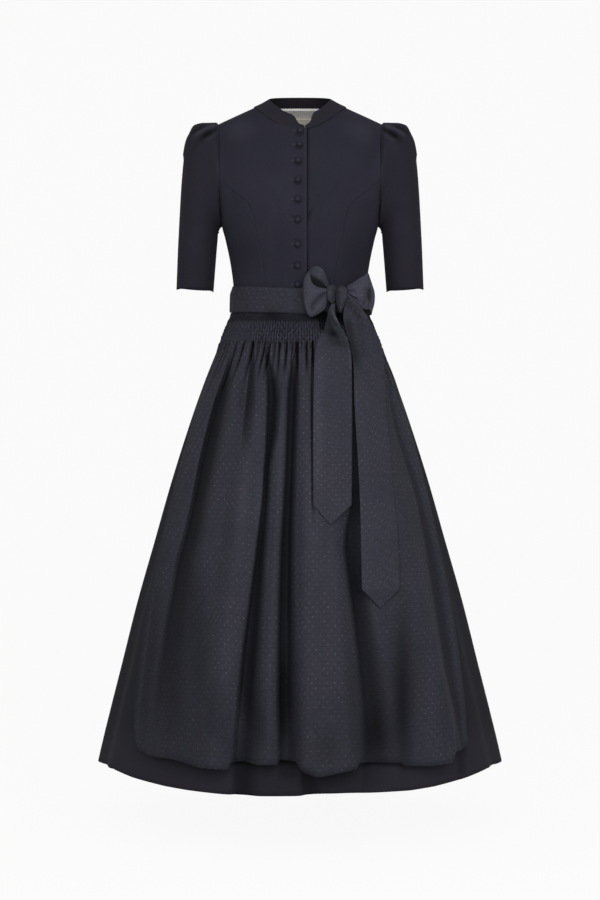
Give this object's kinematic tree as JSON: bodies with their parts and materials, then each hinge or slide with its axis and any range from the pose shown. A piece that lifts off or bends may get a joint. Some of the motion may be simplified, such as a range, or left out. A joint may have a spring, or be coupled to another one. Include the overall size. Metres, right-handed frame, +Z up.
{
  "type": "dirndl dress",
  "caption": "Dirndl dress with a buttoned bodice, stand collar and puffed half sleeves, a long skirt, and a smocked apron tied round the waist with a bow.",
  "frame": {"origin": "the middle of the shoulder line, level with where the shoulder seams meet the neck and in the plane of the side seams", "axes": "+Z up, -Y out of the front, +X to the wearer's left"},
  "size_m": [0.8022, 0.8204, 1.3379],
  "materials": {
    "bodice_cloth": "matt dark navy wool-like weave",
    "sleeve_cloth": "matt dark navy weave",
    "collar_cloth": "matt dark navy weave",
    "button_cloth": "matt dark navy cloth covering",
    "skirt_cloth": "matt plain weave, nearly black",
    "apron_cloth": "slightly lustrous jacquard with small light dots",
    "tie_cloth": "slightly lustrous ribbed jacquard with small light dots",
    "lining_cloth": "smooth ivory cloth with fine stripes",
    "label_cloth": "smooth cream woven tape"
  },
  "bodies": {
    "root": {"bodice_front_right": "bodice_cloth", "bodice_front_left": "bodice_cloth", "bodice_side_right": "bodice_cloth", "bodice_side_left": "bodice_cloth", "bodice_back": "bodice_cloth", "sleeve_right": "sleeve_cloth", "sleeve_left": "sleeve_cloth", "collar": "collar_cloth", "neck_lining": "lining_cloth", "neck_label": "label_cloth", "button_1": "button_cloth", "button_2": "button_cloth", "button_3": "button_cloth", "button_4": "button_cloth", "button_5": "button_cloth", "button_6": "button_cloth", "button_7": "button_cloth", "button_8": "button_cloth", "button_9": "button_cloth", "skirt_front": "skirt_cloth", "skirt_back": "skirt_cloth", "apron": "apron_cloth", "apron_band": "apron_cloth", "waist_tie": "tie_cloth", "bow_knot": "tie_cloth", "bow_loop_right": "tie_cloth", "bow_loop_left": "tie_cloth", "tie_tail_short": "tie_cloth", "tie_tail_long": "tie_cloth"}
  },
  "joints": []
}
